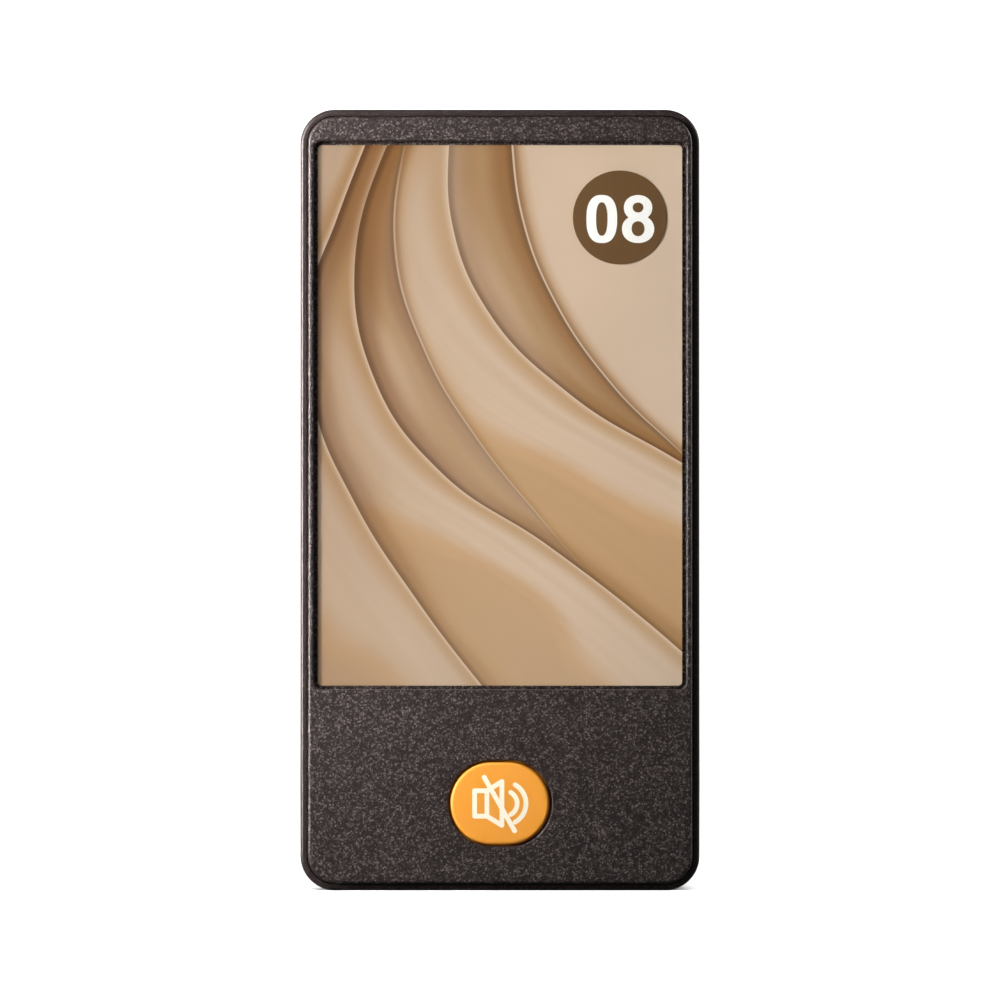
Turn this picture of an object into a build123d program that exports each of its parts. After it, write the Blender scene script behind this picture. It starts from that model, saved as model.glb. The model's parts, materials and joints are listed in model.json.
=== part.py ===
"""Handheld guest pager: a slim upright box, with a card behind a clear window and a mute button below it.

Millimetres. X runs across the face, Y from the face (negative) to the back, and Z up.
The origin is under the middle of the pager, on the face that it stands on.
Every separate piece is one node, written to parts/NODE.step.
"""

import math
import os

from build123d import *

# Outside of the case
BODY_W, BODY_H, BODY_D = 52.0, 101.7, 11.8
CORNER_R = 4.5
BUTTON_PROUD = 0.2
FACE_Y = BUTTON_PROUD - (BODY_D + BUTTON_PROUD) / 2
BACK_Y = FACE_Y + BODY_D
MID_Z = BODY_H / 2

# Where the two halves of the case meet
COVER_INSET = 1.0
COVER_SIDE, GROOVE_DEPTH = 2.25, 0.5
SHELL_EDGE_Y = FACE_Y + COVER_SIDE
COVER_EDGE_Y = SHELL_EDGE_Y + GROOVE_DEPTH
WALL, BACK_WALL, COVER_WALL = 2.0, 1.8, 1.6
COVER_INNER_Y = FACE_Y + COVER_WALL
CAVITY_BACK_Y = BACK_Y - BACK_WALL
REBATE = 0.8
LIP_GAP, LIP_T = 0.08, 0.85
LIP_END_Y = COVER_EDGE_Y + 0.8
LEDGE_Y = LIP_END_Y + 0.35
COVER_EDGE_R, SHELL_EDGE_R, BACK_EDGE_R = 0.42, 0.45, 1.1
OPENING_EDGE_R, WINDOW_EDGE_R = 0.25, 0.28
SLIP, SNUG = 0.1, 0.05
RIB_T = 1.0

# Window, card and number
WINDOW_W, WINDOW_H, WINDOW_R = 47.4, 70.3, 0.55
WINDOW_LOW_Z = 26.7
WINDOW_GAP = 0.5
WINDOW_SINK, WINDOW_T, WINDOW_CHAMFER = 0.12, 0.5, 0.28
CARD_T, TAPE_T, STICKER_T, INK_T = 0.2, 0.1, 0.1, 0.04
TAPE_INSET = 0.45
INK_GAP = 0.01
DIGIT_X, DIGIT_DROP = 2.36, 0.2
OVAL_POINTS = 48
WINDOW_MID_Z = WINDOW_LOW_Z + WINDOW_H / 2
WINDOW_Y = FACE_Y + WINDOW_SINK
CARD_Y = WINDOW_Y + WINDOW_T + INK_GAP + INK_T + STICKER_T
RECESS_Y = CARD_Y + CARD_T + TAPE_T
WELL_WALL = 0.9
WELL_Y = RECESS_Y + WELL_WALL
WELL_LOW_Z = WINDOW_LOW_Z - 1.5
NUMBER_X, NUMBER_Z, NUMBER_R = 15.6, 87.6, 6.12

# Mute button and its switch
BUTTON_Z = 11.4
BUTTON_W, BUTTON_H, BUTTON_GAP = 12.9, 10.7, 0.28
CROWN_EDGE_R = 0.45
FLANGE_OVERHANG, FLANGE_T = 1.3, 0.65
FLANGE_Y = COVER_INNER_Y + SNUG
ICON_T, ICON_LINE = 0.15, 0.62
HORN = [(-3.3, 1.65), (-1.7, 1.65), (0.25, 2.85), (0.25, -2.85), (-1.7, -1.65), (-3.3, -1.65)]
HORN_BACK = (-1.7, 1.65, -1.7, -1.65)
SLASH = (-2.05, 3.4, 1.9, -3.55)
WAVE_X, WAVE_RADII, WAVE_HALF_ANGLE = 0.58, (1.65, 2.8), 60
PLUNGER_R = 1.6
SWITCH_SIZE, SWITCH_H = 6.0, 2.0
STEM_R, STEM_LENGTH = 2.0, 0.2
PLUNGER_Y = FLANGE_Y + FLANGE_T + STEM_LENGTH

# Circuit board
BOARD_FRONT_Y, BOARD_T = -0.6, 1.0
BOARD_BACK_Y = BOARD_FRONT_Y + BOARD_T
BOARD_W, BOARD_LOW_Z, BOARD_HIGH_Z, BOARD_R = 46.0, 3.6, 95.4, 1.8

# Screws
SCREW_X, SCREW_LOW_Z, SCREW_HIGH_Z = 19.5, 7.5, 94.2
SCREW_R, PILOT_R, SHANK_HOLE_R = 0.85, 0.9, 1.15
SCREW_HEAD_R, SCREW_HEAD_T, HEAD_POCKET_R = 1.95, 1.3, 2.2
HEAD_SEAT_Y = BACK_Y - 1.8
BOSS_R, SHOULDER_R, POST_R = 2.3, 3.2, 3.2
BOSS_END_Y = BOARD_BACK_Y + 0.6
SCREW_TIP_Y, SCREW_POINT, PILOT_SPARE = -2.6, 0.3, 0.3
CROSS_W, CROSS_T, CROSS_BOTTOM, HEAD_EDGE_R = 2.3, 0.5, 0.5, 0.5
SCREWS = [(x, z) for x in (-SCREW_X, SCREW_X) for z in (SCREW_LOW_Z, SCREW_HIGH_Z)]

# Strap eye in the top end
EYE_Y = 1.2
EYE_W, EYE_D, EYE_DEPTH, EYE_WALL = 6.4, 2.6, 3.5, 1.2
EYE_BAR_R, EYE_BAR_SINK, EYE_ROOT = 0.75, 0.1, 0.4

# Charging contacts in the bottom end
CONTACT_X, CONTACT_Y = 8.0, 1.2
CONTACT_R, CONTACT_SINK, CONTACT_HEAD_T, CONTACT_SHANK_R = 2.0, 0.3, 0.6, 1.2
CONTACT_INNER_Z = WALL + 1.0
CLIP_W, CLIP_T, CLIP_FOOT, CLIP_LEG = 2.4, 0.25, 1.9, 4.5

# Charging lights
SIDE_LIGHT_Y, SIDE_LIGHT_Z, SIDE_LIGHT_R = -0.75, 33.7, 0.9
REAR_LIGHT_X, REAR_LIGHT_Z, REAR_LIGHT_R = 18.5, 28.0, 1.5
LIGHT_GAP, LIGHT_SINK = 0.02, 0.05
SIDE_FLANGE_R, SIDE_FLANGE_T, SIDE_PIPE_TAIL = 1.25, 0.68, 0.8
REAR_FLANGE_R, REAR_FLANGE_T, REAR_LAMP_GAP = 2.2, 0.6, 1.2

# Buzzer
BUZZER_X, BUZZER_Z = 11.5, 84.5
BUZZER_DISC_R, BUZZER_CERAMIC_R, BUZZER_T = 7.6, 5.0, 0.2
BUZZER_Y = CAVITY_BACK_Y - 1.1
BUZZER_RIM, BUZZER_RIM_RISE, BUZZER_SEAT = 0.9, 0.4, 0.7
BUZZER_PIN_R, CERAMIC_PIN_DROP, DISC_PIN_DROP = 0.4, 2.5, 6.2
SOUND_HOLE_R, SOUND_RING_R, RING_HOLES = 0.7, 3.2, 6
MESH_R, MESH_T = 4.6, 0.15

# Vibration motor, its axis along X
MOTOR_Y, MOTOR_Z, MOTOR_R = 0.4, 85.2, 3.0
MOTOR_LEFT_X, MOTOR_RIGHT_X = -19.2, -7.2
MOTOR_SLOT_W, MOTOR_SLOT_H, MOTOR_SLOT_R, MOTOR_SLOT_MARGIN = 21.2, 8.8, 1.0, 1.6
CAN_T, CAN_NOSE_T, CAN_EDGE_R = 0.25, 0.5, 0.3
END_CAP_T, END_CAP_SPIGOT = 0.8, 0.6
SHAFT_R, SHAFT_GAP = 0.4, 0.05
WEIGHT_R, WEIGHT_LEFT_X, WEIGHT_RIGHT_X, WEIGHT_CUT, HUB_R = 2.9, -6.2, -2.6, 0.3, 1.1
BOOT_SIZE, BOOT_R = 7.1, 1.2
BOOT_LEFT_X, BOOT_RIGHT_X = MOTOR_LEFT_X + 1.2, MOTOR_RIGHT_X - 1.4
MOTOR_RIB_Y = 1.4

# Battery
BATTERY_W, BATTERY_LOW_Z, BATTERY_HIGH_Z, BATTERY_T = 30.0, 38.5, 75.0, 3.0
FOAM_T, FOAM_INSET = 0.3, 1.5
BATTERY_Y = BOARD_BACK_Y + FOAM_T
BATTERY_SIDE_R, BATTERY_END_R = 1.2, 0.4
BATTERY_RIB_LEFT_X, BATTERY_RIB_RIGHT_X, BATTERY_RIB_Y, BATTERY_RIB_GAP = -12.0, -4.0, 2.4, 0.2
BATTERY_BOARD_LEFT_X, BATTERY_BOARD_RIGHT_X = -2.5, 11.0
BATTERY_BOARD_FRONT, BATTERY_BOARD_T, BATTERY_BOARD_H = 0.6, 1.8, 1.6
LEAD_R, MOTOR_LEAD_R, MOTOR_LEAD_RISE = 0.4, 0.3, 1.3


# ---------------------------------------------------------------- helpers
def face_plane(y):
    """A plane at depth y that faces the front, so that a sketch's x and y are the part's X and Z."""
    return Plane(origin=(0, y, 0), x_dir=(1, 0, 0), z_dir=(0, -1, 0))


def prism(sketch, y_front, y_back):
    """The sketch carried from y_front back to y_back."""
    return extrude(face_plane(y_front) * sketch, amount=y_front - y_back)


def rounded(width, height, radius, x=0.0, z=MID_Z):
    return Pos(x, z) * RectangleRounded(width, height, radius)


def case_outline(inset):
    """The case's outline, moved in by inset all round."""
    return rounded(BODY_W - 2 * inset, BODY_H - 2 * inset, CORNER_R - inset)


def block(x0, x1, y0, y1, z0, z1):
    centre = Pos((x0 + x1) / 2, (y0 + y1) / 2, (z0 + z1) / 2)
    return centre * Box(x1 - x0, y1 - y0, z1 - z0)


def rod_x(radius, y, z, x0, x1):
    plane = Plane(origin=(x0, y, z), x_dir=(0, 1, 0), z_dir=(1, 0, 0))
    return extrude(plane * Circle(radius), amount=x1 - x0)


def rod_y(radius, x, z, y0, y1):
    return prism(Pos(x, z) * Circle(radius), y0, y1)


def rod_z(radius, x, y, z0, z1):
    return extrude(Pos(x, y, z0) * Circle(radius), amount=z1 - z0)


def front_edges(shape):
    return shape.faces().sort_by(Axis.Y)[0].edges()


def back_edges(shape):
    return shape.faces().sort_by(Axis.Y)[-1].edges()


def wire_tube(points, radius, bend):
    """A wire of that radius along straight runs with rounded bends."""
    path = FilletPolyline(*points, radius=bend)
    section = Plane(origin=path @ 0, z_dir=path % 0) * Circle(radius)
    return sweep(section, path=path)


def together(shapes):
    """Several separate solids that make one node."""
    return Part() + list(shapes)


# ---------------------------------------------------------------- case
def window_outline(grow):
    return rounded(WINDOW_W + 2 * grow, WINDOW_H + 2 * grow, WINDOW_R + grow, z=WINDOW_MID_Z)


def lip_inner_outline():
    return case_outline(REBATE + LIP_GAP + LIP_T)


def button_outline(grow):
    return Pos(0, BUTTON_Z) * SlotOverall(BUTTON_W + 2 * grow, BUTTON_H + 2 * grow)


def face_openings(cover):
    """The rims of the holes in the cover's face, the button's first and the window's last."""
    return cover.faces().sort_by(Axis.Y)[0].inner_wires().sort_by(SortBy.LENGTH)


def front_cover():
    """Textured front with the window recess, the button hole, a lip and four screw bosses."""
    plate = prism(case_outline(COVER_INSET), FACE_Y, COVER_EDGE_Y)
    plate = fillet(front_edges(plate), COVER_EDGE_R)

    below_well = Pos(0, WELL_LOW_Z / 2) * Rectangle(BODY_W, WELL_LOW_Z)
    above_well_edge = Pos(0, WELL_LOW_Z + BODY_H / 2) * Rectangle(BODY_W, BODY_H)
    plate -= prism(lip_inner_outline() & below_well, COVER_INNER_Y, COVER_EDGE_Y)
    plate -= prism(lip_inner_outline() & above_well_edge, WELL_Y, COVER_EDGE_Y)

    lip = prism(case_outline(REBATE + LIP_GAP) - lip_inner_outline(), COVER_EDGE_Y, LIP_END_Y)
    cover = plate + lip

    for x, z in SCREWS:
        root_y = COVER_INNER_Y if z == SCREW_LOW_Z else WELL_Y
        cover += rod_y(SHOULDER_R, x, z, root_y, BOARD_FRONT_Y)
        cover += rod_y(BOSS_R, x, z, BOARD_FRONT_Y, BOSS_END_Y)
        cover -= rod_y(PILOT_R, x, z, SCREW_TIP_Y - PILOT_SPARE, BOSS_END_Y)

    cover -= prism(window_outline(WINDOW_GAP), FACE_Y, RECESS_Y)
    cover -= prism(button_outline(BUTTON_GAP), FACE_Y, COVER_INNER_Y)
    cover = fillet(face_openings(cover)[-1].edges(), WINDOW_EDGE_R)
    return fillet(face_openings(cover)[0].edges(), OPENING_EDGE_R)


def strap_eye(shell):
    """Cuts the strap eye: an oval pocket in the top end with a bar across it."""
    boss_w, boss_d = EYE_W + 2 * EYE_WALL, EYE_D + 2 * EYE_WALL
    shell += block(-boss_w / 2, boss_w / 2, EYE_Y - boss_d / 2, EYE_Y + boss_d / 2,
                   BODY_H - EYE_DEPTH - EYE_WALL, BODY_H - WALL + EYE_ROOT)
    pocket = Pos(0, EYE_Y, BODY_H - EYE_DEPTH) * SlotOverall(EYE_W, EYE_D)
    shell -= extrude(pocket, amount=EYE_DEPTH)
    bar_z = BODY_H - EYE_BAR_R - EYE_BAR_SINK
    bar_reach = EYE_D / 2 + EYE_ROOT
    return shell + rod_y(EYE_BAR_R, 0, bar_z, EYE_Y - bar_reach, EYE_Y + bar_reach)


def sound_hole_places():
    ring = [math.tau * i / RING_HOLES for i in range(RING_HOLES)]
    return [(BUZZER_X, BUZZER_Z)] + [
        (BUZZER_X + SOUND_RING_R * math.cos(a), BUZZER_Z + SOUND_RING_R * math.sin(a)) for a in ring
    ]


def rear_shell():
    """Back and sides of the case, with every opening and the fittings that hold the parts inside."""
    shell = prism(case_outline(0), SHELL_EDGE_Y, BACK_Y)
    shell = fillet(front_edges(shell), SHELL_EDGE_R)
    shell = fillet(back_edges(shell), BACK_EDGE_R)
    shell -= prism(case_outline(WALL), SHELL_EDGE_Y, CAVITY_BACK_Y)
    shell -= prism(case_outline(REBATE), SHELL_EDGE_Y, LEDGE_Y)
    shell = strap_eye(shell)

    for x, z in SCREWS:
        shell += rod_y(POST_R, x, z, BOARD_BACK_Y, CAVITY_BACK_Y)
        shell -= rod_y(BOSS_R + SLIP, x, z, BOARD_BACK_Y, BOSS_END_Y)
        shell -= rod_y(SHANK_HOLE_R, x, z, BOSS_END_Y, HEAD_SEAT_Y)
        shell -= rod_y(HEAD_POCKET_R, x, z, HEAD_SEAT_Y, BACK_Y)

    for x in (-CONTACT_X, CONTACT_X):
        shell -= rod_z(CONTACT_SHANK_R + SNUG, x, CONTACT_Y, 0, WALL)
        shell -= rod_z(CONTACT_R + SLIP, x, CONTACT_Y, 0, CONTACT_SINK + CONTACT_HEAD_T)

    rim_y = BUZZER_Y - BUZZER_RIM_RISE
    shell += rod_y(BUZZER_DISC_R + BUZZER_RIM, BUZZER_X, BUZZER_Z, rim_y, CAVITY_BACK_Y)
    shell -= rod_y(BUZZER_DISC_R + SLIP, BUZZER_X, BUZZER_Z, rim_y, BUZZER_Y)
    shell -= rod_y(BUZZER_DISC_R - BUZZER_SEAT, BUZZER_X, BUZZER_Z, BUZZER_Y, CAVITY_BACK_Y)
    for x, z in sound_hole_places():
        shell -= rod_y(SOUND_HOLE_R, x, z, CAVITY_BACK_Y, BACK_Y)

    shell -= rod_x(SIDE_LIGHT_R + LIGHT_GAP, SIDE_LIGHT_Y, SIDE_LIGHT_Z, BODY_W / 2 - WALL, BODY_W / 2)
    shell -= rod_y(REAR_LIGHT_R + LIGHT_GAP, REAR_LIGHT_X, REAR_LIGHT_Z, CAVITY_BACK_Y, BACK_Y)

    boot_edge = BOOT_SIZE / 2 + SLIP
    for z0 in (MOTOR_Z - boot_edge - RIB_T, MOTOR_Z + boot_edge):
        shell += block(BOOT_LEFT_X, BOOT_RIGHT_X, MOTOR_RIB_Y, CAVITY_BACK_Y, z0, z0 + RIB_T)
    for z0 in (BATTERY_LOW_Z - BATTERY_RIB_GAP - RIB_T, BATTERY_HIGH_Z + BATTERY_RIB_GAP):
        shell += block(BATTERY_RIB_LEFT_X, BATTERY_RIB_RIGHT_X, BATTERY_RIB_Y, CAVITY_BACK_Y, z0, z0 + RIB_T)
    return shell


def case_seal():
    """Flat rubber ring squeezed between the cover's lip and the shell's ledge."""
    ring = case_outline(REBATE + LIP_GAP) - lip_inner_outline()
    return prism(ring, LIP_END_Y, LEDGE_Y)


def case_screws():
    """Four pan-head screws with cross recesses, driven in from the back."""
    screws = []
    for x, z in SCREWS:
        head = rod_y(SCREW_HEAD_R, x, z, HEAD_SEAT_Y, HEAD_SEAT_Y + SCREW_HEAD_T)
        head = fillet(back_edges(head), HEAD_EDGE_R)
        for w, h in ((CROSS_W, CROSS_T), (CROSS_T, CROSS_W)):
            head -= prism(Pos(x, z) * Rectangle(w, h), HEAD_SEAT_Y + CROSS_BOTTOM, HEAD_SEAT_Y + SCREW_HEAD_T)
        shank = rod_y(SCREW_R, x, z, SCREW_TIP_Y, HEAD_SEAT_Y)
        shank = chamfer(front_edges(shank), SCREW_POINT)
        screws.append(head + shank)
    return together(screws)


# ---------------------------------------------------------------- window stack
def clear_window():
    window = prism(window_outline(0), WINDOW_Y, WINDOW_Y + WINDOW_T)
    return chamfer(front_edges(window), WINDOW_CHAMFER)


def label_card():
    return prism(window_outline(0), CARD_Y, CARD_Y + CARD_T)


def card_tape():
    return prism(window_outline(-TAPE_INSET), CARD_Y + CARD_T, RECESS_Y)


def number_sticker():
    return prism(Pos(NUMBER_X, NUMBER_Z) * Circle(NUMBER_R), CARD_Y - STICKER_T, CARD_Y)


def oval(width, height, power, z=0.0):
    """An ellipse with fuller corners: the higher the power, the squarer it is."""
    points = []
    for i in range(OVAL_POINTS):
        angle = math.tau * i / OVAL_POINTS
        c, s = math.cos(angle), math.sin(angle)
        x = math.copysign(abs(c) ** (2 / power), c) * width / 2
        points.append((x, z + math.copysign(abs(s) ** (2 / power), s) * height / 2))
    return make_face(Spline(*points, periodic=True))


def number_digits():
    """The pager's number, a nought and an eight in bold strokes."""
    nought = oval(4.0, 6.25, 2.5) - oval(1.5, 4.35, 2.4)
    eight = oval(3.7, 3.3, 2.1, z=1.47) + oval(4.2, 3.65, 2.1, z=-1.3)
    eight = eight - oval(1.4, 1.3, 2.1, z=1.5) - oval(1.68, 1.95, 2.1, z=-1.26)
    ink_y = CARD_Y - STICKER_T
    digits = Pos(-DIGIT_X, 0) * nought + Pos(DIGIT_X, 0) * eight
    return prism(Pos(NUMBER_X, NUMBER_Z - DIGIT_DROP) * digits, ink_y - INK_T, ink_y)


# ---------------------------------------------------------------- mute button and switch
def stroke(x0, z0, x1, z1):
    """A round-ended line of the icon, from one point to another."""
    length = math.hypot(x1 - x0, z1 - z0)
    angle = math.degrees(math.atan2(z1 - z0, x1 - x0))
    middle = Pos((x0 + x1) / 2, (z0 + z1) / 2)
    return middle * SlotCenterToCenter(length, ICON_LINE, rotation=angle)


def sound_wave(x, radius, half_angle):
    """An arc of the icon that opens to the left about the point at x."""
    ring = Circle(radius + ICON_LINE / 2) - Circle(radius - ICON_LINE / 2)
    reach = 2 * radius
    rise = reach * math.tan(math.radians(half_angle))
    wedge = Polygon((0, 0), (reach, -rise), (reach, rise), align=None)
    ends = [
        Pos(radius * math.cos(math.radians(s * half_angle)), radius * math.sin(math.radians(s * half_angle)))
        * Circle(ICON_LINE / 2)
        for s in (-1, 1)
    ]
    return Pos(x, 0) * ((ring & wedge) + ends[0] + ends[1])


def icon_sketch():
    """Generic muted speaker: a box and horn in outline, two sound waves and a slash."""
    lines = stroke(*HORN_BACK) + stroke(*SLASH)
    for start, end in zip(HORN, HORN[1:] + HORN[:1]):
        lines += stroke(*start, *end)
    for radius in WAVE_RADII:
        lines += sound_wave(WAVE_X, radius, WAVE_HALF_ANGLE)
    return Pos(0, BUTTON_Z) * lines


def mute_button():
    """Orange key cap: it stands just proud of the face, and its flange keeps it in the hole."""
    crown_y = FACE_Y - BUTTON_PROUD
    cap = prism(button_outline(0), crown_y, FLANGE_Y)
    cap = fillet(front_edges(cap), CROWN_EDGE_R)
    cap += prism(button_outline(FLANGE_OVERHANG), FLANGE_Y, FLANGE_Y + FLANGE_T)
    cap += rod_y(STEM_R, 0, BUTTON_Z, FLANGE_Y + FLANGE_T, PLUNGER_Y)
    return cap - prism(icon_sketch(), crown_y, crown_y + ICON_T)


def mute_icon():
    crown_y = FACE_Y - BUTTON_PROUD
    return prism(icon_sketch(), crown_y, crown_y + ICON_T)


SWITCH_TOP_Y = BOARD_FRONT_Y - SWITCH_H
DOME_R, DOME_RISE, DOME_T, DOME_SEAT_GAP = 2.2, 0.7, 0.1, 0.2
DOME_RIM_Y = SWITCH_TOP_Y + 1.2
DOME_TOP_Y = DOME_RIM_Y - DOME_RISE
SWITCH_COVER_T = 0.15
TAB_W, TAB_LENGTH, TAB_NOTCH = 2.0, 0.9, 0.2
SHOULDER_GAP, PLUNGER_SHOULDER_R = 0.02, 1.9
TERMINAL_Z, TERMINAL_W, TERMINAL_T, TERMINAL_RISE = 2.25, 0.7, 0.2, 0.8
TERMINAL_KNEE, TERMINAL_REACH = 0.3, 1.3


def switch_base():
    half = SWITCH_SIZE / 2
    base = block(-half, half, SWITCH_TOP_Y, BOARD_FRONT_Y, BUTTON_Z - half, BUTTON_Z + half)
    base -= rod_y(DOME_R + DOME_SEAT_GAP, 0, BUTTON_Z, SWITCH_TOP_Y, DOME_RIM_Y)
    notch = TAB_W / 2 + SLIP
    for side in (-half, half):
        base -= block(side - TAB_NOTCH, side + TAB_NOTCH, SWITCH_TOP_Y, SWITCH_TOP_Y + TAB_LENGTH + SLIP,
                      BUTTON_Z - notch, BUTTON_Z + notch)
    return base


def switch_cover():
    """Steel plate over the switch, with a tab folded down on each side."""
    half = SWITCH_SIZE / 2
    y0, y1 = SWITCH_TOP_Y - SWITCH_COVER_T, SWITCH_TOP_Y
    plate = block(-half, half, y0, y1, BUTTON_Z - half, BUTTON_Z + half)
    plate -= rod_y(PLUNGER_R + SLIP, 0, BUTTON_Z, y0, y1)
    for x0 in (-half, half - SWITCH_COVER_T):
        plate += block(x0, x0 + SWITCH_COVER_T, y1, y1 + TAB_LENGTH, BUTTON_Z - TAB_W / 2, BUTTON_Z + TAB_W / 2)
    return plate


def switch_plunger():
    plunger = rod_y(PLUNGER_R, 0, BUTTON_Z, PLUNGER_Y, DOME_TOP_Y)
    return plunger + rod_y(PLUNGER_SHOULDER_R, 0, BUTTON_Z, SWITCH_TOP_Y + SHOULDER_GAP, DOME_TOP_Y)


def switch_dome():
    """Thin steel snap dome that gives the click and pushes the button back."""
    ball_r = (DOME_R**2 + DOME_RISE**2) / (2 * DOME_RISE)
    ball = Sphere(ball_r) - Sphere(ball_r - DOME_T)
    keep = rod_y(SWITCH_SIZE / 2, 0, BUTTON_Z, DOME_TOP_Y - DOME_T, DOME_RIM_Y)
    return Pos(0, DOME_TOP_Y + ball_r, BUTTON_Z) * ball & keep


def switch_terminals():
    half = SWITCH_SIZE / 2
    pins = []
    for side in (-1, 1):
        for z in (BUTTON_Z - TERMINAL_Z, BUTTON_Z + TERMINAL_Z):
            z0, z1 = z - TERMINAL_W / 2, z + TERMINAL_W / 2
            arm_x = sorted((side * half, side * (half + TERMINAL_KNEE)))
            foot_x = sorted((side * half, side * (half + TERMINAL_REACH)))
            arm = block(*arm_x, BOARD_FRONT_Y - TERMINAL_RISE, BOARD_FRONT_Y, z0, z1)
            foot = block(*foot_x, BOARD_FRONT_Y - TERMINAL_T, BOARD_FRONT_Y, z0, z1)
            pins.append(arm + foot)
    return together(pins)


# ---------------------------------------------------------------- circuit board
VIA_R, VIA_COUNT, VIA_LEFT_X, VIA_PITCH, VIA_Z = 0.3, 6, -10.0, 4.0, 33.4
PIN_ONE_R, PIN_ONE_INSET, PIN_ONE_DEPTH = 0.35, 0.9, 0.1
CHIP_STANDOFF, CHIP_EDGE = 0.1, 0.2
LEAD_W, LEAD_T, LEAD_RISE, LEAD_KNEE, LEAD_REACH = 0.4, 0.2, 0.8, 0.3, 1.0


def circuit_board():
    height = BOARD_HIGH_Z - BOARD_LOW_Z
    outline = rounded(BOARD_W, height, BOARD_R, z=BOARD_LOW_Z + height / 2)
    board = prism(outline, BOARD_FRONT_Y, BOARD_BACK_Y)
    for x, z in SCREWS:
        board -= rod_y(BOSS_R + SLIP, x, z, BOARD_FRONT_Y, BOARD_BACK_Y)
    slot_x = (MOTOR_LEFT_X + WEIGHT_RIGHT_X + MOTOR_SLOT_MARGIN) / 2
    motor_slot = rounded(MOTOR_SLOT_W, MOTOR_SLOT_H, MOTOR_SLOT_R, x=slot_x, z=MOTOR_Z)
    board -= prism(motor_slot, BOARD_FRONT_Y, BOARD_BACK_Y)
    for i in range(VIA_COUNT):
        board -= rod_y(VIA_R, VIA_LEFT_X + VIA_PITCH * i, VIA_Z, BOARD_FRONT_Y, BOARD_BACK_Y)
    return board


def chip_body(x, z, width, height, thickness):
    """A moulded chip on the back of the board, with a pin-one dimple."""
    top_y = BOARD_BACK_Y + thickness
    body = block(x - width / 2, x + width / 2, BOARD_BACK_Y + CHIP_STANDOFF, top_y,
                 z - height / 2, z + height / 2)
    body = chamfer(back_edges(body), CHIP_EDGE)
    dimple_x, dimple_z = x - width / 2 + PIN_ONE_INSET, z + height / 2 - PIN_ONE_INSET
    return body - rod_y(PIN_ONE_R, dimple_x, dimple_z, top_y - PIN_ONE_DEPTH, top_y)


def chip_leads(x, z, width, height, per_side, pitch):
    """Two rows of bent leads along a chip's left and right sides."""
    y = BOARD_BACK_Y
    leads = []
    for side in (-1, 1):
        root, shin, knee, tip = (
            x + side * (width / 2 + reach) for reach in (0, LEAD_KNEE - LEAD_T, LEAD_KNEE, LEAD_REACH)
        )
        for i in range(per_side):
            lead_z = z + (i - (per_side - 1) / 2) * pitch
            z0, z1 = lead_z - LEAD_W / 2, lead_z + LEAD_W / 2
            lead = block(*sorted((root, knee)), y + LEAD_RISE - LEAD_T, y + LEAD_RISE, z0, z1)
            lead += block(*sorted((shin, knee)), y, y + LEAD_RISE, z0, z1)
            lead += block(*sorted((knee, tip)), y, y + LEAD_T, z0, z1)
            leads.append(lead)
    return together(leads)


CONTROLLER = dict(x=-7.0, z=19.0, width=5.4, height=11.4)
RADIO = dict(x=5.5, z=21.5, width=3.9, height=4.9)
CHARGER = dict(x=-16.5, z=30.0, width=3.0, height=3.0)


def controller_chip():
    return chip_body(**CONTROLLER, thickness=1.6)


def controller_leads():
    return chip_leads(**CONTROLLER, per_side=8, pitch=1.27)


def radio_chip():
    return chip_body(**RADIO, thickness=1.5)


def radio_leads():
    return chip_leads(**RADIO, per_side=4, pitch=1.27)


def charger_chip():
    return chip_body(**CHARGER, thickness=1.2)


def charger_leads():
    return chip_leads(**CHARGER, per_side=3, pitch=0.95)


CRYSTAL_X, CRYSTAL_Z = 14.5, 19.0
CRYSTAL_W, CRYSTAL_H, CRYSTAL_T, CRYSTAL_EDGE_R = 9.6, 3.6, 3.0, 0.5
CRYSTAL_RIM_W, CRYSTAL_RIM_H, CRYSTAL_RIM_T = 10.6, 4.4, 0.5


def crystal_can():
    """Metal crystal can lying on the board beside the radio chip."""
    place = Pos(CRYSTAL_X, CRYSTAL_Z)
    y = BOARD_BACK_Y
    can = prism(place * SlotOverall(CRYSTAL_W, CRYSTAL_H), y, y + CRYSTAL_T)
    can = fillet(back_edges(can), CRYSTAL_EDGE_R)
    return can + prism(place * SlotOverall(CRYSTAL_RIM_W, CRYSTAL_RIM_H), y, y + CRYSTAL_RIM_T)


CHIP_PARTS = [(-16, 14), (-16, 17), (-16, 20), (-16, 23), (1, 12), (1, 15)]
CHIP_PARTS += [(11, 25), (11, 28), (11, 13), (14, 13)]
CHIP_PART_W, CHIP_PART_H, CHIP_PART_T, SOLDER_W = 1.4, 1.2, 0.8, 0.35


def chip_part_slice(x, z, width):
    """A piece of a small chip part: its body, or one of its solder ends."""
    y = BOARD_BACK_Y
    return block(x - width / 2, x + width / 2, y, y + CHIP_PART_T, z - CHIP_PART_H / 2, z + CHIP_PART_H / 2)


def chip_capacitors():
    """Small ceramic capacitors between their solder ends."""
    return together(chip_part_slice(x, z, CHIP_PART_W) for x, z in CHIP_PARTS)


def chip_solder_ends():
    reach = (CHIP_PART_W + SOLDER_W) / 2
    return together(
        chip_part_slice(x + side * reach, z, SOLDER_W) for x, z in CHIP_PARTS for side in (-1, 1)
    )


BULK_LEFT_X, BULK_RIGHT_X, BULK_LOW_Z, BULK_HIGH_Z, BULK_T, BULK_EDGE = -17.6, -11.4, 33.6, 36.8, 2.6, 0.3


def bulk_capacitor():
    body = block(BULK_LEFT_X, BULK_RIGHT_X, BOARD_BACK_Y, BOARD_BACK_Y + BULK_T, BULK_LOW_Z, BULK_HIGH_Z)
    return chamfer(back_edges(body), BULK_EDGE)


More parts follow.
